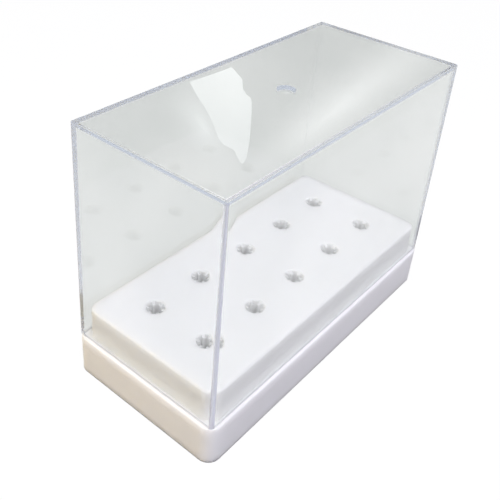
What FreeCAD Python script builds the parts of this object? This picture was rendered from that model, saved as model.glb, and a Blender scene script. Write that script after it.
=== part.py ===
# Case for small round-shank bits: a clear cover pushed down over a white moulded base whose raised
# block holds two rows of gripping sockets. Millimetres, +Z up, length along X, origin under the
# middle of the base.
import FreeCAD, Part
import Sketcher
import math
import os

# Driving sizes. The rest of the geometry is worked out from these.
SIZES = {
    # skirt, the outer band of the base
    "base_length": 80.0,
    "base_width": 38.0,
    "skirt_height": 9.5,
    "skirt_corner_radius": 2.8,
    "skirt_edge_radius": 0.3,
    "skirt_lip": 0.5,
    # raised block inside the cover
    "block_rise": 7.35,
    "block_gap": 0.2,
    "block_taper": 1.0,
    "block_corner_radius": 2.4,
    "block_edge_radius": 0.5,
    # hollow underside
    "base_wall": 1.5,
    "block_plate": 1.8,
    "rib_thickness": 1.0,
    "rib_depth": 6.0,
    # sockets
    "sockets_in_row": 5,
    "socket_rows": 2,
    "socket_spacing": 14.0,
    "row_spacing": 14.0,
    "socket_depth": 13.0,
    "shank_diameter": 2.35,
    "shank_gap": 0.025,
    "well_radius": 2.0,
    "grip_ribs": 6,
    "grip_rib_thickness": 0.6,
    "mouth_slope_width": 0.25,
    "mouth_slope_depth": 0.25,
    "rib_slope_depth": 0.3,
    "sleeve_wall": 1.2,
    "sleeve_floor": 1.2,
    # clear cover
    "cover_height": 49.8,
    "cover_wall": 1.3,
    "cover_top": 1.3,
    "cover_taper": 0.55,
    "cover_corner_radius": 1.0,
    "cover_inner_radius": 0.8,
    "cover_edge_radius": 0.25,
    # gate mark in the middle of the cover's top
    "gate_radius": 2.0,
    "gate_floor_radius": 1.3,
    "gate_depth": 0.4,
    "gate_stub_radius": 0.55,
    "gate_stub_height": 0.25,
}

doc = FreeCAD.newDocument("bit_case")
sheet = doc.addObject("Spreadsheet::Sheet", "sizes")
for row, (alias, size) in enumerate(SIZES.items(), start=1):
    sheet.set(f"A{row}", alias)
    sheet.set(f"B{row}", str(size))
    sheet.setAlias(f"B{row}", alias)
doc.recompute()

# Sizes that several features share, as expressions on the sheet.
LEDGE = "sizes.skirt_height"
BLOCK_TOP = "sizes.skirt_height + sizes.block_rise"
PLATE_UNDERSIDE = f"{BLOCK_TOP} - sizes.block_plate"
PLATE_MIDDLE = f"{BLOCK_TOP} - sizes.block_plate / 2"
COVER_TOP = "sizes.skirt_height + sizes.cover_height"
GRIP_RADIUS = "sizes.shank_diameter / 2 + sizes.shank_gap"
MOUTH_RADIUS = "sizes.well_radius + sizes.mouth_slope_width"
SLEEVE_RADIUS = "sizes.well_radius + sizes.sleeve_wall"
SLEEVE_FOOT = f"{BLOCK_TOP} - sizes.socket_depth - sizes.sleeve_floor"
FIRST_SOCKET_X = "-(sizes.sockets_in_row - 1) * sizes.socket_spacing / 2"
FIRST_SOCKET_Y = "-(sizes.socket_rows - 1) * sizes.row_spacing / 2"


def value(expression):
    return float(sheet.evalExpression(expression))


def rim_size(overall, inset):
    # The cover's outer or inner size where its rim sits on the ledge.
    return f"sizes.{overall} - 2 * (sizes.skirt_lip + {inset})"


def body_named(name):
    body = doc.addObject("PartDesign::Body", name)
    body.Label = name
    return body


def origin_part(body, role):
    return next(item for item in body.Origin.OriginFeatures if item.Role == role)


def sketch_on(body, name, role="XY_Plane", x="0", y="0", z="0"):
    # x, y and z place the sketch's own origin in the body's frame.
    sketch = body.newObject("Sketcher::SketchObject", name)
    sketch.AttachmentSupport = (origin_part(body, role), [""])
    sketch.MapMode = "FlatFace"
    local = (x, y, z) if role == "XY_Plane" else (x, z, f"-({y})")
    for axis, expression in zip("xyz", local):
        sketch.setExpression(f"AttachmentOffset.Base.{axis}", expression)
    return sketch


def bind(sketch, name, constraint, expression):
    index = sketch.addConstraint(constraint)
    sketch.renameConstraint(index, name)
    sketch.setExpression(f"Constraints.{name}", expression)


def draw_circle(sketch, radius):
    circle = Part.Circle(FreeCAD.Vector(), FreeCAD.Vector(0, 0, 1), value(radius))
    ring = sketch.addGeometry(circle)
    sketch.addConstraint(Sketcher.Constraint("Coincident", ring, 3, -1, 1))
    bind(sketch, "radius", Sketcher.Constraint("Radius", ring, value(radius)), radius)


def draw_slice(sketch, radius, count, rib):
    # The space between two neighbouring ribs of a round well, about the sketch's Y axis: its
    # flanks are parallel to the ribs and meet at a point near the well's middle.
    point_height = f"{rib} / 2 / sin(180 deg / {count})"
    turns = [f"90 deg {sign} 180 deg / {count}" for sign in "-+"]
    outer, half_turn = value(radius), math.pi / value(count)
    half_arc = half_turn - math.asin(value(rib) / 2 / outer)
    point = FreeCAD.Vector(0, value(point_height), 0)
    circle = Part.Circle(FreeCAD.Vector(), FreeCAD.Vector(0, 0, 1), outer)
    start, end = math.pi / 2 - half_arc, math.pi / 2 + half_arc
    arc = sketch.addGeometry(Part.ArcOfCircle(circle, start, end))
    sketch.addConstraint(Sketcher.Constraint("Coincident", arc, 3, -1, 1))
    bind(sketch, "radius", Sketcher.Constraint("Radius", arc, outer), radius)
    flanks = []
    for angle in (start, end):
        tip = FreeCAD.Vector(outer * math.cos(angle), outer * math.sin(angle), 0)
        flanks.append(sketch.addGeometry(Part.LineSegment(point, tip)))
    sketch.addConstraint(Sketcher.Constraint("Coincident", flanks[0], 1, flanks[1], 1))
    sketch.addConstraint(Sketcher.Constraint("PointOnObject", flanks[0], 1, -2))
    height = Sketcher.Constraint("DistanceY", -1, 1, flanks[0], 1, point.y)
    bind(sketch, "point_height", height, point_height)
    for side, (flank, turn) in enumerate(zip(flanks, turns), start=1):
        sketch.addConstraint(Sketcher.Constraint("Coincident", flank, 2, arc, side))
        slope = math.pi / 2 + (half_turn if side == 2 else -half_turn)
        bind(sketch, f"flank_{side}", Sketcher.Constraint("Angle", flank, slope), turn)


def draw_rectangle(sketch, length, width, radius=None):
    # A rectangle centred on the sketch's origin, its corners rounded where a radius is given.
    a, b = value(length) / 2, value(width) / 2
    r = value(radius) if radius else 0
    quarter = math.pi / 2
    corners = [(-a, -b, 2), (a, -b, 3), (a, b, 0), (-a, b, 1)]
    toward = [(1, 0), (0, 1), (-1, 0), (0, -1)]
    sides, arcs = [], []
    for index, (x, y, turn) in enumerate(corners):
        next_x, next_y, _ = corners[(index + 1) % 4]
        step_x, step_y = toward[index]
        start = FreeCAD.Vector(x + step_x * r, y + step_y * r, 0)
        end = FreeCAD.Vector(next_x - step_x * r, next_y - step_y * r, 0)
        sides.append(sketch.addGeometry(Part.LineSegment(start, end)))
        if radius:
            centre = FreeCAD.Vector(x - math.copysign(r, x), y - math.copysign(r, y), 0)
            ring = Part.Circle(centre, FreeCAD.Vector(0, 0, 1), r)
            arc = Part.ArcOfCircle(ring, turn * quarter, (turn + 1) * quarter)
            arcs.append(sketch.addGeometry(arc))
    for index in range(4):
        following = (index + 1) % 4
        if radius:
            sketch.addConstraint(Sketcher.Constraint("Tangent", sides[index], 2, arcs[following], 1))
            sketch.addConstraint(Sketcher.Constraint("Tangent", arcs[index], 2, sides[index], 1))
        else:
            sketch.addConstraint(Sketcher.Constraint("Coincident", sides[index], 2, sides[following], 1))
    for side, rule in zip(sides, ("Horizontal", "Vertical", "Horizontal", "Vertical")):
        sketch.addConstraint(Sketcher.Constraint(rule, side))
    if radius:
        for arc in arcs[1:]:
            sketch.addConstraint(Sketcher.Constraint("Equal", arcs[0], arc))
        sketch.addConstraint(Sketcher.Constraint("Symmetric", arcs[0], 3, arcs[2], 3, -1, 1))
        bind(sketch, "radius", Sketcher.Constraint("Radius", arcs[0], r), radius)
    else:
        sketch.addConstraint(Sketcher.Constraint("Symmetric", sides[0], 1, sides[2], 1, -1, 1))
    across = Sketcher.Constraint("DistanceX", sides[3], 1, sides[1], 1, 2 * a)
    up = Sketcher.Constraint("DistanceY", sides[0], 1, sides[2], 1, 2 * b)
    bind(sketch, "length", across, length)
    bind(sketch, "width", up, width)


def draw_outline(sketch, points):
    # A closed outline of straight runs; each point is a pair of expressions, held by distances
    # from the sketch's origin.
    spots = [FreeCAD.Vector(value(x), value(y), 0) for x, y in points]
    lines = []
    for index, spot in enumerate(spots):
        run = Part.LineSegment(spot, spots[(index + 1) % len(spots)])
        lines.append(sketch.addGeometry(run))
    for index, line in enumerate(lines):
        following = lines[(index + 1) % len(lines)]
        sketch.addConstraint(Sketcher.Constraint("Coincident", line, 2, following, 1))
    for index, ((x, y), spot) in enumerate(zip(points, spots)):
        for name, rule, expression, size in (
            ("across", "DistanceX", x, spot.x),
            ("up", "DistanceY", y, spot.y),
        ):
            if expression == "0":
                line_of_zero = -2 if rule == "DistanceX" else -1
                fixed = Sketcher.Constraint("PointOnObject", lines[index], 1, line_of_zero)
                sketch.addConstraint(fixed)
            else:
                held = Sketcher.Constraint(rule, -1, 1, lines[index], 1, size)
                bind(sketch, f"{name}_{index}", held, expression)


def settle(body, feature, before, adds):
    # Makes sure that the feature really added or took away material.
    body.Tip = feature
    doc.recompute()
    change = feature.Shape.Volume - before
    if (change > 0) != adds or not change:
        raise ValueError(f"{feature.Name} changed the volume by {change:.4f} mm3")
    return feature


def volume_of(body):
    doc.recompute()
    return 0.0 if body.Shape.isNull() else body.Shape.Volume


def extrude(body, kind, name, sketch, length, taper="0", upward=True):
    # kind is Pad or Pocket; upward says which way along the sketch's normal the form grows.
    before = volume_of(body)
    feature = body.newObject(f"PartDesign::{kind}", name)
    feature.Profile = sketch
    feature.Reversed = upward == (kind == "Pocket")
    feature.setExpression("Length", length)
    feature.setExpression("TaperAngle", taper)
    return settle(body, feature, before, kind == "Pad")


def revolve_cut(body, name, sketch):
    before = volume_of(body)
    feature = body.newObject("PartDesign::Groove", name)
    feature.Profile = sketch
    feature.ReferenceAxis = (sketch, ["V_Axis"])
    return settle(body, feature, before, False)


def round_edges(body, name, radius, picked):
    # Rounds the edges of the body's last form for which picked(edge) is true.
    doc.recompute()
    last = body.Tip
    names = [f"Edge{n}" for n, edge in enumerate(last.Shape.Edges, start=1) if picked(edge)]
    before = last.Shape.Volume
    feature = body.newObject("PartDesign::Fillet", name)
    feature.Base = (last, names)
    feature.setExpression("Radius", radius)
    return settle(body, feature, before, False)


def lies_at(edge, height):
    return all(abs(vertex.Z - height) < 1e-6 for vertex in edge.Vertexes)


ALONG_ROW = ("X_Axis", "sizes.sockets_in_row", "sizes.socket_spacing")
ACROSS_ROWS = ("Y_Axis", "sizes.socket_rows", "sizes.row_spacing")


def straight_pattern(body, name, direction):
    role, count, spacing = direction
    feature = body.newObject("PartDesign::LinearPattern", name)
    feature.Direction = (origin_part(body, role), [""])
    feature.Mode = "Spacing"
    feature.setExpression("Occurrences", count)
    feature.setExpression("Offset", spacing)
    return feature


def round_pattern(body, name, axis, count):
    feature = body.newObject("PartDesign::PolarPattern", name)
    feature.Axis = axis
    feature.Angle = 360
    feature.setExpression("Occurrences", count)
    return feature


def repeat(body, name, original, directions, ring=None):
    # Copies a feature round a ring where one is given, then along each straight direction.
    before = original.BaseFeature.Shape.Volume
    adds = original.TypeId == "PartDesign::Pad"
    patterns = [round_pattern(body, f"{name}_ring", *ring)] if ring else []
    for direction in directions:
        axis_letter = direction[0][0].lower()
        patterns.append(straight_pattern(body, f"{name}_{axis_letter}", direction))
    feature = body.newObject("PartDesign::MultiTransform", name)
    feature.Originals = [original]
    feature.Transformations = patterns
    return settle(body, feature, before, adds)


def build_base():
    body = body_named("base")
    skirt_outline = sketch_on(body, "skirt_outline")
    draw_rectangle(skirt_outline, "sizes.base_length", "sizes.base_width", "sizes.skirt_corner_radius")
    extrude(body, "Pad", "skirt", skirt_outline, LEDGE)
    ledge = value(LEDGE)
    round_edges(body, "skirt_edge", "sizes.skirt_edge_radius", lambda edge: lies_at(edge, ledge))

    # The block stands on the ledge and stops a small gap short of the cover's inner faces.
    block_length = rim_size("base_length", "sizes.cover_wall + sizes.block_gap")
    block_width = rim_size("base_width", "sizes.cover_wall + sizes.block_gap")
    block_outline = sketch_on(body, "block_outline", z=LEDGE)
    draw_rectangle(block_outline, block_length, block_width, "sizes.block_corner_radius")
    extrude(body, "Pad", "block", block_outline, "sizes.block_rise", taper="-sizes.block_taper")
    block_top = value(BLOCK_TOP)
    round_edges(body, "block_edge", "sizes.block_edge_radius", lambda edge: lies_at(edge, block_top))

    # Hollow underside: a wide pocket inside the skirt and a narrower one up into the block.
    wide_hollow = sketch_on(body, "wide_hollow_outline")
    draw_rectangle(
        wide_hollow,
        "sizes.base_length - 2 * sizes.base_wall",
        "sizes.base_width - 2 * sizes.base_wall",
        "sizes.skirt_corner_radius - sizes.base_wall",
    )
    extrude(body, "Pocket", "wide_hollow", wide_hollow, f"{LEDGE} - sizes.base_wall")
    high_hollow = sketch_on(body, "high_hollow_outline")
    hollow_length = f"{block_length} - 2 * sizes.base_wall"
    hollow_width = f"{block_width} - 2 * sizes.base_wall"
    hollow_radius = "sizes.block_corner_radius - sizes.base_wall"
    draw_rectangle(high_hollow, hollow_length, hollow_width, hollow_radius)
    extrude(body, "Pocket", "high_hollow", high_hollow, PLATE_UNDERSIDE)

    # Stiffening ribs under the plate, one along each row and one across at each pair of sockets.
    rib_foot = f"{PLATE_UNDERSIDE} - sizes.rib_depth"
    rib_height = "sizes.rib_depth + sizes.block_plate / 2"
    long_rib = sketch_on(body, "long_rib_outline", y=FIRST_SOCKET_Y, z=rib_foot)
    draw_rectangle(long_rib, f"{hollow_length} + sizes.base_wall", "sizes.rib_thickness")
    long_pad = extrude(body, "Pad", "long_rib", long_rib, rib_height)
    repeat(body, "long_ribs", long_pad, [ACROSS_ROWS])
    cross_rib = sketch_on(body, "cross_rib_outline", x=FIRST_SOCKET_X, z=rib_foot)
    draw_rectangle(cross_rib, "sizes.rib_thickness", f"{hollow_width} + sizes.base_wall")
    cross_pad = extrude(body, "Pad", "cross_rib", cross_rib, rib_height)
    repeat(body, "cross_ribs", cross_pad, [ALONG_ROW])

    # Sleeves that carry the sockets down into the hollow.
    sleeve_outline = sketch_on(body, "sleeve_outline", x=FIRST_SOCKET_X, y=FIRST_SOCKET_Y, z=SLEEVE_FOOT)
    draw_circle(sleeve_outline, SLEEVE_RADIUS)
    sleeve = extrude(body, "Pad", "sleeve", sleeve_outline, f"{PLATE_MIDDLE} - ({SLEEVE_FOOT})")
    repeat(body, "sleeves", sleeve, [ALONG_ROW, ACROSS_ROWS])

    # The socket's round bore, with a sloped mouth that leads the shank in over the ribs.
    mouth = sketch_on(body, "mouth_profile", "XZ_Plane", x=FIRST_SOCKET_X, y=FIRST_SOCKET_Y, z=BLOCK_TOP)
    bore_floor = "-sizes.socket_depth"
    rib_crest = "-(sizes.mouth_slope_depth + sizes.rib_slope_depth)"
    draw_outline(
        mouth,
        [
            ("0", "0"),
            (MOUTH_RADIUS, "0"),
            ("sizes.well_radius", "-sizes.mouth_slope_depth"),
            (GRIP_RADIUS, rib_crest),
            (GRIP_RADIUS, bore_floor),
            ("0", bore_floor),
        ],
    )
    bore = revolve_cut(body, "bore", mouth)
    repeat(body, "bores", bore, [ALONG_ROW, ACROSS_ROWS])

    # Slices cut round the bore leave slim ribs between them, whose crests grip the shank.
    slice_outline = sketch_on(body, "slice_outline", x=FIRST_SOCKET_X, y=FIRST_SOCKET_Y, z=BLOCK_TOP)
    draw_slice(slice_outline, "sizes.well_radius", "sizes.grip_ribs", "sizes.grip_rib_thickness")
    well_slice = extrude(body, "Pocket", "well_slice", slice_outline, "sizes.socket_depth", upward=False)
    round_bore = ((slice_outline, ["N_Axis"]), "sizes.grip_ribs")
    repeat(body, "well_slices", well_slice, [ALONG_ROW, ACROSS_ROWS], ring=round_bore)
    return body


def build_cover():
    body = body_named("cover")
    outer = sketch_on(body, "outer_outline", z=LEDGE)
    rim_length = rim_size("base_length", "0")
    rim_width = rim_size("base_width", "0")
    draw_rectangle(outer, rim_length, rim_width, "sizes.cover_corner_radius")
    extrude(body, "Pad", "outer_form", outer, "sizes.cover_height", taper="-sizes.cover_taper")
    top = value(COVER_TOP)
    round_edges(body, "top_edge", "sizes.cover_edge_radius", lambda edge: lies_at(edge, top))

    inner = sketch_on(body, "inner_outline", z=LEDGE)
    inner_length = rim_size("base_length", "sizes.cover_wall")
    inner_width = rim_size("base_width", "sizes.cover_wall")
    draw_rectangle(inner, inner_length, inner_width, "sizes.cover_inner_radius")
    depth = "sizes.cover_height - sizes.cover_top"
    extrude(body, "Pocket", "inner_form", inner, depth, taper="-sizes.cover_taper")

    # The dish left where the plastic came in, with the broken-off stub on its floor.
    gate = sketch_on(body, "gate_profile", "XZ_Plane", z=COVER_TOP)
    stub_top = "sizes.gate_stub_height - sizes.gate_depth"
    draw_outline(
        gate,
        [
            ("0", "0"),
            ("sizes.gate_radius", "0"),
            ("sizes.gate_floor_radius", "-sizes.gate_depth"),
            ("sizes.gate_stub_radius", "-sizes.gate_depth"),
            ("sizes.gate_stub_radius", stub_top),
            ("0", stub_top),
        ],
    )
    revolve_cut(body, "gate_mark", gate)
    return body


pieces = [build_base(), build_cover()]
doc.recompute()
for item in doc.Objects:
    if "Invalid" in item.State or "Error" in item.State:
        raise ValueError(f"{item.Name} failed: {item.State}")
os.makedirs("parts", exist_ok=True)
for piece in pieces:
    if piece.Shape.isNull() or not piece.Shape.isValid():
        raise ValueError(f"{piece.Label} has no valid shape")
    piece.Shape.exportStep(f"parts/{piece.Label}.step")
    box = piece.Shape.optimalBoundingBox(False, False)
    print(
        f"{piece.Label}: {len(piece.Shape.Solids)} solid, {piece.Shape.Volume:.0f} mm3,"
        f" {box.XLength:.2f} x {box.YLength:.2f} x {box.ZLength:.2f} mm, z {box.ZMin:.2f} to {box.ZMax:.2f}"
    )
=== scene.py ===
# Bit case, empty and closed: a clear lift-off cover on a white moulded base with ten ribbed sockets.
import math
import bpy
from mathutils import Matrix, Vector


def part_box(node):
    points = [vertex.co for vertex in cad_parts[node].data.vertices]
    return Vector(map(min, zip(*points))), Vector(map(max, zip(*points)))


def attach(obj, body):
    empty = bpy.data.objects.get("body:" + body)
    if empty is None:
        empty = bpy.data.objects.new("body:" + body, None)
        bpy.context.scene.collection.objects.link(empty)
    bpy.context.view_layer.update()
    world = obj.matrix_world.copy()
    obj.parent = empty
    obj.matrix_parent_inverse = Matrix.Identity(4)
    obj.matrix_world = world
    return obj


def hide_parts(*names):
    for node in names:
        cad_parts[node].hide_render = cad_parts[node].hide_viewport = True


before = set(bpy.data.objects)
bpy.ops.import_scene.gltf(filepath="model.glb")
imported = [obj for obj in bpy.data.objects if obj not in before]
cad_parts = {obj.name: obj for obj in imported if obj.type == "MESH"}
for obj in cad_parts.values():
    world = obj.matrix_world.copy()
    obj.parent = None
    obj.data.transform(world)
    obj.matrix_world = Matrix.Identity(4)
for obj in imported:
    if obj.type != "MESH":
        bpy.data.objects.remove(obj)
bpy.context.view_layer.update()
mm = 0.001
print("frame loaded:", ", ".join(sorted(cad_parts)))


def linearColour(hexText):
    channels = [int(hexText[i:i + 2], 16) / 255 for i in (0, 2, 4)]
    linear = [c / 12.92 if c <= 0.04045 else ((c + 0.055) / 1.055) ** 2.4 for c in channels]
    return linear + [1.0]


def addNode(tree, kind, settings=None, links=None):
    # settings and links name either a socket (or its number) or one of the node's own properties
    node = tree.nodes.new(kind)
    for name, setting in (settings or {}).items():
        if isinstance(name, int) or name in node.inputs:
            node.inputs[name].default_value = setting
        else:
            setattr(node, name, setting)
    for name, source in (links or {}).items():
        tree.links.new(source, node.inputs[name])
    return node


def newMaterial(name):
    material = bpy.data.materials.new(name)
    material.use_nodes = True
    material.node_tree.nodes.clear()
    return material, material.node_tree


def newPiece(name, points, faces, material, smooth=True):
    mesh = bpy.data.meshes.new(name)
    mesh.from_pydata(points, [], faces)
    mesh.validate()
    mesh.polygons.foreach_set("use_smooth", [smooth] * len(mesh.polygons))
    mesh.materials.append(material)
    piece = bpy.data.objects.new(name, mesh)
    bpy.context.scene.collection.objects.link(piece)
    return piece


# White gloss plastic, injection moulded: a clean, slightly soft white with a broad sheen, and the
# faint orange peel that a polished mould leaves.
whitePlastic = {
    "colour": "F8F8F7",
    "cloudColour": "F4F4F3",
    "cloudWidth": 24 * mm,
    "roughness": 0.3,
    "ior": 1.5,
    "glowThrough": 1.0,
    "glowDepth": 4.0 * mm,
    "peelWidth": 1.6 * mm,
    "peelHeight": 0.004 * mm,
}


def makeWhitePlastic(look):
    material, tree = newMaterial("white glossy plastic moulded")
    place = addNode(tree, "ShaderNodeTexCoord")
    cloud = addNode(
        tree,
        "ShaderNodeTexNoise",
        {"Scale": 1 / look["cloudWidth"], "Detail": 2.0},
        {"Vector": place.outputs["Object"]},
    )
    tone = addNode(
        tree,
        "ShaderNodeMix",
        {"data_type": "RGBA", 6: linearColour(look["colour"]), 7: linearColour(look["cloudColour"])},
        {0: cloud.outputs["Fac"]},
    )
    peel = addNode(
        tree,
        "ShaderNodeTexNoise",
        {"Scale": 1 / look["peelWidth"], "Detail": 1.0},
        {"Vector": place.outputs["Object"]},
    )
    bump = addNode(
        tree,
        "ShaderNodeBump",
        {"Strength": 1.0, "Distance": look["peelHeight"]},
        {"Height": peel.outputs["Fac"]},
    )
    shader = addNode(
        tree,
        "ShaderNodeBsdfPrincipled",
        {
            "Roughness": look["roughness"],
            "IOR": look["ior"],
            "Subsurface Weight": look["glowThrough"],
            "Subsurface Radius": (1.0, 1.0, 1.0),
            "Subsurface Scale": look["glowDepth"],
        },
        {"Base Color": tone.outputs[2], "Normal": bump.outputs["Normal"]},
    )
    addNode(tree, "ShaderNodeOutputMaterial", {}, {"Surface": shader.outputs["BSDF"]})
    return material


# Clear polystyrene, injection moulded and polished: a light grey cast through each wall, slightly
# wavy reflections, and edges painted lavender grey, a painted glow that stands in for the light
# caught between a wall's faces, which comes out there.
clearPlastic = {
    "colour": "F5F6F5",
    "castColour": "DFE2E1",
    "castWidth": 30 * mm,
    # the painted lavender glow along the edges, for light caught in the walls, and how clear it
    # leaves them
    "edgeGlowColour": "CDCFDC",
    "edgeClear": 0.6,
    "turnsInside": 3,
    # glow of the caught light on upright walls, and a darker one on flat faces as painted shade
    "wallGlow": "A6ABB1",
    "topGlow": "888D93",
    "tint": "CCCDD8",
    "density": 4.0,
    "roughness": 0.015,
    "ior": 1.56,
    "waveWidth": 30 * mm,
    "waveHeight": 0.02 * mm,
}


def makeClearPlastic(look):
    material, tree = newMaterial("clear polystyrene moulded")
    place = addNode(tree, "ShaderNodeTexCoord")
    wave = addNode(
        tree,
        "ShaderNodeTexNoise",
        {"Scale": 1 / look["waveWidth"], "Detail": 1.0},
        {"Vector": place.outputs["Object"]},
    )
    bump = addNode(
        tree,
        "ShaderNodeBump",
        {"Strength": 1.0, "Distance": look["waveHeight"]},
        {"Height": wave.outputs["Fac"]},
    )
    cast = addNode(
        tree,
        "ShaderNodeTexNoise",
        {"Scale": 1 / look["castWidth"], "Detail": 1.0},
        {"Vector": place.outputs["Object"]},
    )
    tone = addNode(
        tree,
        "ShaderNodeMix",
        {"data_type": "RGBA", 6: linearColour(look["colour"]), 7: linearColour(look["castColour"])},
        {0: cast.outputs["Fac"]},
    )
    # 1 along the edges, where a painted lavender glow stands in for the light caught inside the walls
    edgeGlowShare = addNode(tree, "ShaderNodeAttribute", {"attribute_name": "paintedEdgeGlow"})
    tint = addNode(
        tree,
        "ShaderNodeMix",
        {"data_type": "RGBA", 7: linearColour(look["edgeGlowColour"])},
        {0: edgeGlowShare.outputs["Fac"], 6: tone.outputs[2]},
    )
    clear = addNode(
        tree,
        "ShaderNodeMapRange",
        {"To Min": 1.0, "To Max": look["edgeClear"]},
        {"Value": edgeGlowShare.outputs["Fac"]},
    )
    shader = addNode(
        tree,
        "ShaderNodeBsdfPrincipled",
        {"Roughness": look["roughness"], "IOR": look["ior"]},
        {
            "Base Color": tint.outputs[2],
            "Transmission Weight": clear.outputs[0],
            "Normal": bump.outputs["Normal"],
        },
    )
    depth = addNode(
        tree,
        "ShaderNodeVolumeAbsorption",
        {"Color": linearColour(look["tint"]), "Density": look["density"]},
    )
    # light that both faces of a wall keep turning back ends as the soft glow of its edge
    rays = addNode(tree, "ShaderNodeLightPath")
    caught = addNode(
        tree,
        "ShaderNodeMath",
        {"operation": "GREATER_THAN", 1: look["turnsInside"] - 0.5},
        {0: rays.outputs["Glossy Depth"]},
    )
    # painted shade: flat faces take the darker glow colour, for the top takes more lamplight than the
    # upright walls
    shape = addNode(tree, "ShaderNodeNewGeometry")
    upward = addNode(tree, "ShaderNodeSeparateXYZ", {}, {0: shape.outputs["True Normal"]})
    flat = addNode(tree, "ShaderNodeMath", {"operation": "ABSOLUTE"}, {0: upward.outputs["Z"]})
    held = addNode(
        tree,
        "ShaderNodeMix",
        {"data_type": "RGBA", 6: linearColour(look["wallGlow"]), 7: linearColour(look["topGlow"])},
        {0: flat.outputs[0]},
    )
    near = addNode(tree, "ShaderNodeBsdfDiffuse", {}, {"Color": held.outputs[2]})
    far = addNode(tree, "ShaderNodeBsdfTranslucent", {}, {"Color": held.outputs[2]})
    glow = addNode(tree, "ShaderNodeAddShader", {}, {0: near.outputs[0], 1: far.outputs[0]})
    surface = addNode(
        tree,
        "ShaderNodeMixShader",
        {},
        {0: caught.outputs[0], 1: shader.outputs["BSDF"], 2: glow.outputs[0]},
    )
    addNode(
        tree,
        "ShaderNodeOutputMaterial",
        {},
        {"Surface": surface.outputs[0], "Volume": depth.outputs["Volume"]},
    )
    return material


# The cover's shell. Its outer rim, foot and top come from the frame.
coverForm = {
    "wall": 1.0 * mm,
    "top": 1.1 * mm,
    "draft": math.radians(0.55),
    "outerCorner": 0.85 * mm,
    "innerCorner": 0.1 * mm,
    "swell": 0.05 * mm,
    "swellReach": 2.0 * mm,
    "topEdge": 0.25 * mm,
    "rimEdge": 0.12 * mm,
    "ceilingEdge": 0.25 * mm,
    "cornerSteps": 12,
    "swellSteps": 5,
    "edgeSteps": 4,
    "leastCorner": 0.05 * mm,
    # radius and depth of the dimple left in the middle of the top, from its rim inwards
    "gateMark": [
        (2.0 * mm, 0.0),
        (1.93 * mm, -0.03 * mm),
        (1.62 * mm, -0.5 * mm),
        (1.5 * mm, -0.58 * mm),
        (1.2 * mm, -0.62 * mm),
        (0.4 * mm, -0.52 * mm),
    ],
    # how much painted edge glow each upright corner gets, counter-clockwise from the +X +Y one
    "cornerEdgeGlow": [0.0, 1.0, 1.0, 1.0],
}


def roundedRing(halfLength, halfWidth, corner, height, form, swell=0.0):
    # equally many points round each corner, counter-clockwise from the +X +Y one, and some on the
    # flats beside it, which swell inwards towards it
    steps, swellSteps = form["cornerSteps"], form["swellSteps"]
    centreX, centreY = halfLength - corner - swell, halfWidth - corner - swell
    points = []
    for index, (signX, signY) in enumerate(((1, 1), (-1, 1), (-1, -1), (1, -1))):
        centre = Vector((signX * centreX, signY * centreY, height))
        for step in range(-swellSteps, steps + swellSteps + 1):
            onArc = min(max(step, 0), steps)
            angle = math.radians(90) * (index + onArc / steps)
            outward = Vector((math.cos(angle), math.sin(angle), 0))
            along = Vector((-math.sin(angle), math.cos(angle), 0))
            share = (step - onArc) / swellSteps
            point = centre + corner * outward + form["swellReach"] * share * along
            points.append(point + swell * (1 - (1 - abs(share)) ** 2) * outward)
    return points


def circleRing(radius, height, form):
    count = 4 * (form["cornerSteps"] + 1 + 2 * form["swellSteps"])
    turns = [math.radians(360) * (index + 0.5) / count for index in range(count)]
    return [Vector((radius * math.cos(turn), radius * math.sin(turn), height)) for turn in turns]


def lofted(rings):
    # joins rings of equally many points into one closed skin with a flat cap at each end
    count = len(rings[0])
    points = [point for ring in rings for point in ring]
    faces = [tuple(range(count))]
    for row in range(len(rings) - 1):
        low, high = row * count, (row + 1) * count
        for index in range(count):
            following = (index + 1) % count
            faces.append((low + index, high + index, high + following, low + following))
    last = (len(rings) - 1) * count
    faces.append(tuple(range(last, last + count))[::-1])
    return points, faces


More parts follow.
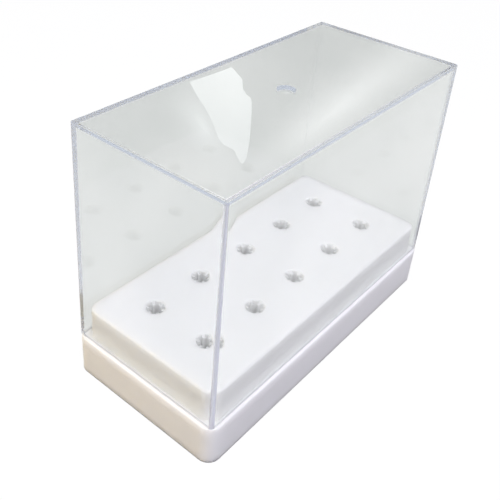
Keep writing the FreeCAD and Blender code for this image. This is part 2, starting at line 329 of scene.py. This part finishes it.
def makeCover(form, material):
    low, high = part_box("cover")
    rimLength, rimWidth = high.x, high.y
    foot, top = low.z, high.z
    slope = math.tan(form["draft"])

    def outer(height, inset=0.0):
        leaning = inset + (height - foot) * slope
        corner = max(form["outerCorner"] - leaning, form["leastCorner"])
        return roundedRing(rimLength - leaning, rimWidth - leaning, corner, height, form)

    def inner(height, inset=0.0):
        leaning = form["wall"] + inset + (height - foot) * slope
        corner = max(form["innerCorner"] - inset, form["leastCorner"])
        inside = rimLength - leaning, rimWidth - leaning
        return roundedRing(*inside, corner, height, form, form["swell"])

    def turned(radius):
        # how far in and how far along, from the flat face round to the wall
        count = form["edgeSteps"]
        angles = [math.radians(90) * step / count for step in range(count + 1)]
        return [(radius * (1 - math.sin(angle)), radius * (1 - math.cos(angle))) for angle in angles]

    # how much painted edge glow each point of a ring gets: at its corners only, nowhere, or all round
    beside = [0.0] * (form["swellSteps"] + 1)
    corners = []
    for cornerGlow in form["cornerEdgeGlow"]:
        corners += beside + [cornerGlow] * (form["cornerSteps"] - 1) + beside
    plain, edged = [0.0] * len(corners), [1.0] * len(corners)
    # the skin runs from the gate mark over the top, down the outside, round the rim and up inside
    rings = [circleRing(radius, top + depth, form) for radius, depth in form["gateMark"][::-1]]
    edgeGlowShare = plain * len(rings)
    rings += [outer(top - down, inset) for inset, down in turned(form["topEdge"])]
    edgeGlowShare += plain * form["edgeSteps"] + corners
    rings += [outer(foot + up, inset) for inset, up in turned(form["rimEdge"])[::-1]]
    edgeGlowShare += corners + edged * form["edgeSteps"]
    rings += [inner(foot + up, -inset) for inset, up in turned(form["rimEdge"])]
    edgeGlowShare += edged * form["edgeSteps"] + plain
    ceiling = top - form["top"]
    rings += [inner(ceiling - down, inset) for inset, down in turned(form["ceilingEdge"])[::-1]]
    edgeGlowShare += plain * (form["edgeSteps"] + 1)
    points, faces = lofted(rings)
    piece = newPiece("cover_shell", points, faces, material)
    # the painted edge glow, stored on the points for the clear plastic's colour and clearness
    piece.data.attributes.new("paintedEdgeGlow", "FLOAT", "POINT").data.foreach_set("value", edgeGlowShare)
    flatness = piece.modifiers.new("flat faces stay flat", "WEIGHTED_NORMAL")
    flatness.weight = 100
    # lamplight passes straight through to the base, as it all but does through a real clear wall
    piece.visible_shadow = False
    piece.visible_diffuse = False
    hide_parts("cover")
    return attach(piece, "cover")


def dressBase(material):
    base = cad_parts["base"]
    base.data.materials.clear()
    base.data.materials.append(material)
    return base


coverPiece = makeCover(coverForm, makeClearPlastic(clearPlastic))
# rays pass through many faces of the clear walls before they end
wallBounces = 40
cycles = bpy.context.scene.cycles
cycles.max_bounces = wallBounces
cycles.glossy_bounces = wallBounces
cycles.transmission_bounces = wallBounces
print("cover made:", len(coverPiece.data.polygons), "faces")
basePiece = dressBase(makeWhitePlastic(whitePlastic))
print("base dressed:", len(basePiece.data.polygons), "faces")

# The set: a white sweep of floor, soft lamps, and a grey canopy that only reflections see.
stageSet = {
    "floorSize": 6.0,
    "floorDrop": 0.02 * mm,
    "floorColour": "848288",
    "floorWhite": "F6F6F7",
    "floorGlow": 0.94,
    "canopyRadius": 1.6,
    "canopyLow": math.radians(5),
    "canopyClear": math.radians(17),
    "canopyHigh": math.radians(88),
    "canopyRings": 10,
    "canopySides": 32,
    "canopyGrey": 0.28,
    "canopyPale": 0.5,
    "cloudScale": 2.2,
    "cloudRoughness": 0.4,
    "cloudRange": (0.4, 0.7),
    "ambient": 0.12,
    "ambientColour": "F3F5FA",
}


def seenRays(tree):
    # 1 for camera, glossy and transmitted rays, 0 for light that falls on the case
    rays = addNode(tree, "ShaderNodeLightPath")
    both = addNode(
        tree,
        "ShaderNodeMath",
        {"operation": "MAXIMUM"},
        {0: rays.outputs["Is Camera Ray"], 1: rays.outputs["Is Glossy Ray"]},
    )
    return addNode(
        tree,
        "ShaderNodeMath",
        {"operation": "MAXIMUM"},
        {0: both.outputs[0], 1: rays.outputs["Is Transmission Ray"]},
    )


def makeFloor(values):
    material, tree = newMaterial("white sweep")
    seen = seenRays(tree)
    # what the camera sees is white paper with the case's shadow on it; what lights the case is greyer
    paper = addNode(tree, "ShaderNodeBsdfDiffuse", {"Color": linearColour(values["floorColour"])})
    white = addNode(tree, "ShaderNodeBsdfDiffuse", {"Color": linearColour(values["floorWhite"])})
    glow = addNode(tree, "ShaderNodeEmission", {"Strength": 1.0})
    shown = addNode(
        tree,
        "ShaderNodeMixShader",
        {0: values["floorGlow"]},
        {1: white.outputs[0], 2: glow.outputs[0]},
    )
    mixed = addNode(
        tree,
        "ShaderNodeMixShader",
        {},
        {0: seen.outputs[0], 1: paper.outputs[0], 2: shown.outputs[0]},
    )
    addNode(tree, "ShaderNodeOutputMaterial", {}, {"Surface": mixed.outputs[0]})
    half = values["floorSize"] / 2
    level = -values["floorDrop"]
    corners = [(-half, -half, level), (half, -half, level), (half, half, level), (-half, half, level)]
    floor = newPiece("floor", corners, [(0, 1, 2, 3)], material, smooth=False)


def makeCanopy(values):
    # a dome of grey cloth over the set
    material, tree = newMaterial("grey cloth canopy")
    place = addNode(tree, "ShaderNodeTexCoord")
    clouds = addNode(
        tree,
        "ShaderNodeTexNoise",
        {"Scale": values["cloudScale"], "Detail": 1.0, "Roughness": values["cloudRoughness"]},
        {"Vector": place.outputs["Object"]},
    )
    level = addNode(
        tree,
        "ShaderNodeMapRange",
        {
            "From Min": values["cloudRange"][0],
            "From Max": values["cloudRange"][1],
            "To Min": values["canopyGrey"],
            "To Max": values["canopyPale"],
        },
        {"Value": clouds.outputs["Fac"]},
    )
    # its foot fades into the white of the sweep
    upright = addNode(tree, "ShaderNodeSeparateXYZ", {}, {0: place.outputs["Object"]})
    foot = addNode(
        tree,
        "ShaderNodeMapRange",
        {
            "interpolation_type": "SMOOTHSTEP",
            "From Min": values["canopyRadius"] * math.sin(values["canopyLow"]),
            "From Max": values["canopyRadius"] * math.sin(values["canopyClear"]),
            "To Min": 1.0,
            "To Max": 0.0,
        },
        {"Value": upright.outputs["Z"]},
    )
    shade = addNode(
        tree,
        "ShaderNodeMix",
        {"data_type": "FLOAT", 3: 1.0},
        {0: foot.outputs[0], 2: level.outputs[0]},
    )
    glow = addNode(tree, "ShaderNodeEmission", {}, {"Strength": shade.outputs[0]})
    addNode(tree, "ShaderNodeOutputMaterial", {}, {"Surface": glow.outputs[0]})
    rings, around = values["canopyRings"], values["canopySides"]
    points, faces = [], []
    for ring in range(rings):
        rise = (values["canopyHigh"] - values["canopyLow"]) * ring / (rings - 1)
        height = values["canopyLow"] + rise
        for index in range(around):
            turn = math.radians(360) * index / around
            flat = values["canopyRadius"] * math.cos(height)
            up = values["canopyRadius"] * math.sin(height)
            points.append((flat * math.cos(turn), flat * math.sin(turn), up))
    for ring in range(rings - 1):
        for index in range(around):
            following = (index + 1) % around
            low, high = ring * around, (ring + 1) * around
            faces.append((low + index, low + following, high + following, high + index))
    reflectedOnly(newPiece("canopy", points, faces, material))


def reflectedOnly(piece):
    piece.visible_camera = False
    piece.visible_diffuse = False
    piece.visible_transmission = False
    piece.visible_shadow = False


# The bright things that the cover's top mirrors, on boards that face the case from one side:
# compass is the direction from +Y towards +X, rise the height above the floor, in degrees.
boardSide = {"compass": 50.5, "rise": 26.0}
# outline, middle and halfSize are in metres on the board, turn in degrees
boards = [
    {
        "name": "window",
        "away": 1.2,
        "glow": 2.15,
        "colour": "F7FAFA",
        "soft": False,
        "outline": [
            (-0.069, 0.010), (0.006, -0.022), (0.027, 0.000), (0.030, 0.020), (0.045, 0.035),
            (0.048, 0.046), (0.048, 0.082), (0.047, 0.115), (0.043, 0.148), (0.036, 0.158),
            (0.029, 0.151), (0.019, 0.133), (0.000, 0.125), (-0.010, 0.113), (-0.019, 0.091),
            (-0.031, 0.067), (-0.051, 0.038),
        ],
    },
    {
        "name": "long soft light",
        "away": 1.25,
        "glow": 1.9,
        "colour": "FFFFFF",
        "soft": True,
        "middle": (0.205, 0.055),
        "halfSize": (0.5, 0.095),
        "turn": -41.0,
    },
    {
        "name": "round soft light",
        "away": 1.3,
        "glow": 1.2,
        "colour": "FFFDF8",
        "soft": True,
        "middle": (-0.04, 0.2),
        "halfSize": (0.2, 0.12),
        "turn": 0.0,
    },
    {
        "name": "glow beside the window",
        "away": 1.22,
        "glow": 2.1,
        "colour": "F7FAFA",
        "soft": True,
        "middle": (-0.04, 0.09),
        "halfSize": (0.14, 0.07),
        "turn": 55.0,
    },
]


def makeBoard(values, side):
    material, tree = newMaterial(values["name"])
    glow = addNode(
        tree,
        "ShaderNodeEmission",
        {"Color": linearColour(values["colour"]), "Strength": values["glow"]},
    )
    shine = glow.outputs[0]
    compass, rise = math.radians(side["compass"]), math.radians(side["rise"])
    facing = Vector(
        (math.sin(compass) * math.cos(rise), math.cos(compass) * math.cos(rise), math.sin(rise))
    )
    right = Vector((math.cos(compass), -math.sin(compass), 0))
    up = right.cross(facing)
    middle = facing * values["away"]
    turn = 0.0
    if values["soft"]:
        # the light fades out towards the board's edge
        halfLength, halfWidth = values["halfSize"]
        signs = ((-1, -1), (1, -1), (1, 1), (-1, 1))
        outline = [(signU * halfLength, signV * halfWidth) for signU, signV in signs]
        middle = middle + right * values["middle"][0] + up * values["middle"][1]
        turn = math.radians(values["turn"])
        place = addNode(tree, "ShaderNodeTexCoord")
        scaled = addNode(
            tree,
            "ShaderNodeMapping",
            {"Scale": (1 / halfLength, 1 / halfWidth, 1.0)},
            {"Vector": place.outputs["Object"]},
        )
        fading = addNode(
            tree,
            "ShaderNodeTexGradient",
            {"gradient_type": "QUADRATIC_SPHERE"},
            {"Vector": scaled.outputs[0]},
        )
        clear = addNode(tree, "ShaderNodeBsdfTransparent")
        mixed = addNode(
            tree,
            "ShaderNodeMixShader",
            {},
            {0: fading.outputs["Fac"], 1: clear.outputs[0], 2: shine},
        )
        shine = mixed.outputs[0]
    else:
        outline = values["outline"]
    addNode(tree, "ShaderNodeOutputMaterial", {}, {"Surface": shine})
    points = [(u, v, 0.0) for u, v in outline]
    face = tuple(range(len(points)))
    board = newPiece(values["name"].replace(" ", "_"), points, [face], material, smooth=False)
    axes = Matrix((right, up, right.cross(up))).transposed().to_4x4()
    board.matrix_world = Matrix.Translation(middle) @ axes @ Matrix.Rotation(turn, 4, "Z")
    reflectedOnly(board)


def makeWorld(values):
    world = bpy.data.worlds.new("studio")
    bpy.context.scene.world = world
    world.use_nodes = True
    tree = world.node_tree
    tree.nodes.clear()
    seen = seenRays(tree)
    soft = addNode(
        tree,
        "ShaderNodeBackground",
        {"Color": linearColour(values["ambientColour"]), "Strength": values["ambient"]},
    )
    white = addNode(tree, "ShaderNodeBackground", {"Color": (1.0, 1.0, 1.0, 1.0), "Strength": 1.0})
    mixed = addNode(
        tree,
        "ShaderNodeMixShader",
        {},
        {0: seen.outputs[0], 1: soft.outputs[0], 2: white.outputs[0]},
    )
    addNode(tree, "ShaderNodeOutputWorld", {}, {"Surface": mixed.outputs[0]})


# places and sizes in metres; all lamps aim at the middle of the case
lampAim = (0.0, 0.0, 0.03)
lamps = [
    {
        "name": "front high",
        "place": (-0.16, -0.28, 0.85),
        "size": (0.5, 0.5),
        "watts": 6.8,
        "colour": "F8F8FF",
    },
    {
        "name": "overhead",
        "place": (0.0, 0.25, 0.9),
        "size": (0.6, 0.6),
        "watts": 3.2,
        "colour": "F4F6FF",
    },
    {
        "name": "front low",
        "place": (-0.62, -0.5, 0.5),
        "size": (0.7, 0.5),
        "watts": 3.1,
        "colour": "FBF9FF",
    },
    {
        "name": "warm left",
        "place": (-0.3, 0.2, 0.05),
        "size": (0.2, 0.08),
        "watts": 0.39,
        "colour": "FFD85C",
    },
    {
        "name": "cool right",
        "place": (0.35, -0.8, 0.16),
        "size": (0.5, 0.3),
        "watts": 0.5,
        "colour": "E0C8FF",
    },
]


def makeLamp(values, aim):
    light = bpy.data.lights.new(values["name"], "AREA")
    light.shape = "RECTANGLE"
    light.size, light.size_y = values["size"]
    light.energy = values["watts"]
    light.color = linearColour(values["colour"])[:3]
    lamp = bpy.data.objects.new(values["name"], light)
    lamp.location = values["place"]
    towards = Vector(aim) - Vector(values["place"])
    lamp.rotation_euler = towards.to_track_quat("-Z", "Y").to_euler()
    lamp.visible_camera = False
    lamp.visible_glossy = False
    lamp.visible_transmission = False
    bpy.context.scene.collection.objects.link(lamp)


# The photograph's view: the place is in millimetres from the frame's origin, the angles in degrees,
# the sensor and lens in millimetres, near and far in metres. The shift brings the case to its place
# in the square picture.
cameraView = {
    "place": (-108.55, -72.46, 117.53),
    "heading": -51.234,
    "pitch": 32.058,
    "roll": 3.773,
    "sensor": 36.0,
    "lens": 51.81,
    "shift": (0.0573, -0.1291),
    "near": 0.005,
    "far": 20.0,
}


def makeCamera(values):
    data = bpy.data.cameras.new("photograph view")
    data.sensor_width = values["sensor"]
    data.lens = values["lens"]
    data.shift_x, data.shift_y = values["shift"]
    data.clip_start = values["near"]
    data.clip_end = values["far"]
    camera = bpy.data.objects.new("photograph view", data)
    heading, pitch = math.radians(values["heading"]), math.radians(values["pitch"])
    looking = Vector(
        (-math.sin(heading) * math.cos(pitch), math.cos(heading) * math.cos(pitch), -math.sin(pitch))
    )
    turn = looking.to_track_quat("-Z", "Y").to_matrix().to_4x4()
    turn = turn @ Matrix.Rotation(math.radians(values["roll"]), 4, "Z")
    camera.matrix_world = Matrix.Translation(Vector(values["place"]) * mm) @ turn
    bpy.context.scene.collection.objects.link(camera)
    bpy.context.scene.camera = camera


makeFloor(stageSet)
makeCanopy(stageSet)
for values in boards:
    makeBoard(values, boardSide)
makeWorld(stageSet)
for values in lamps:
    makeLamp(values, lampAim)
makeCamera(cameraView)
bpy.context.scene.view_settings.view_transform = "Standard"
print("set, lamps and camera made")
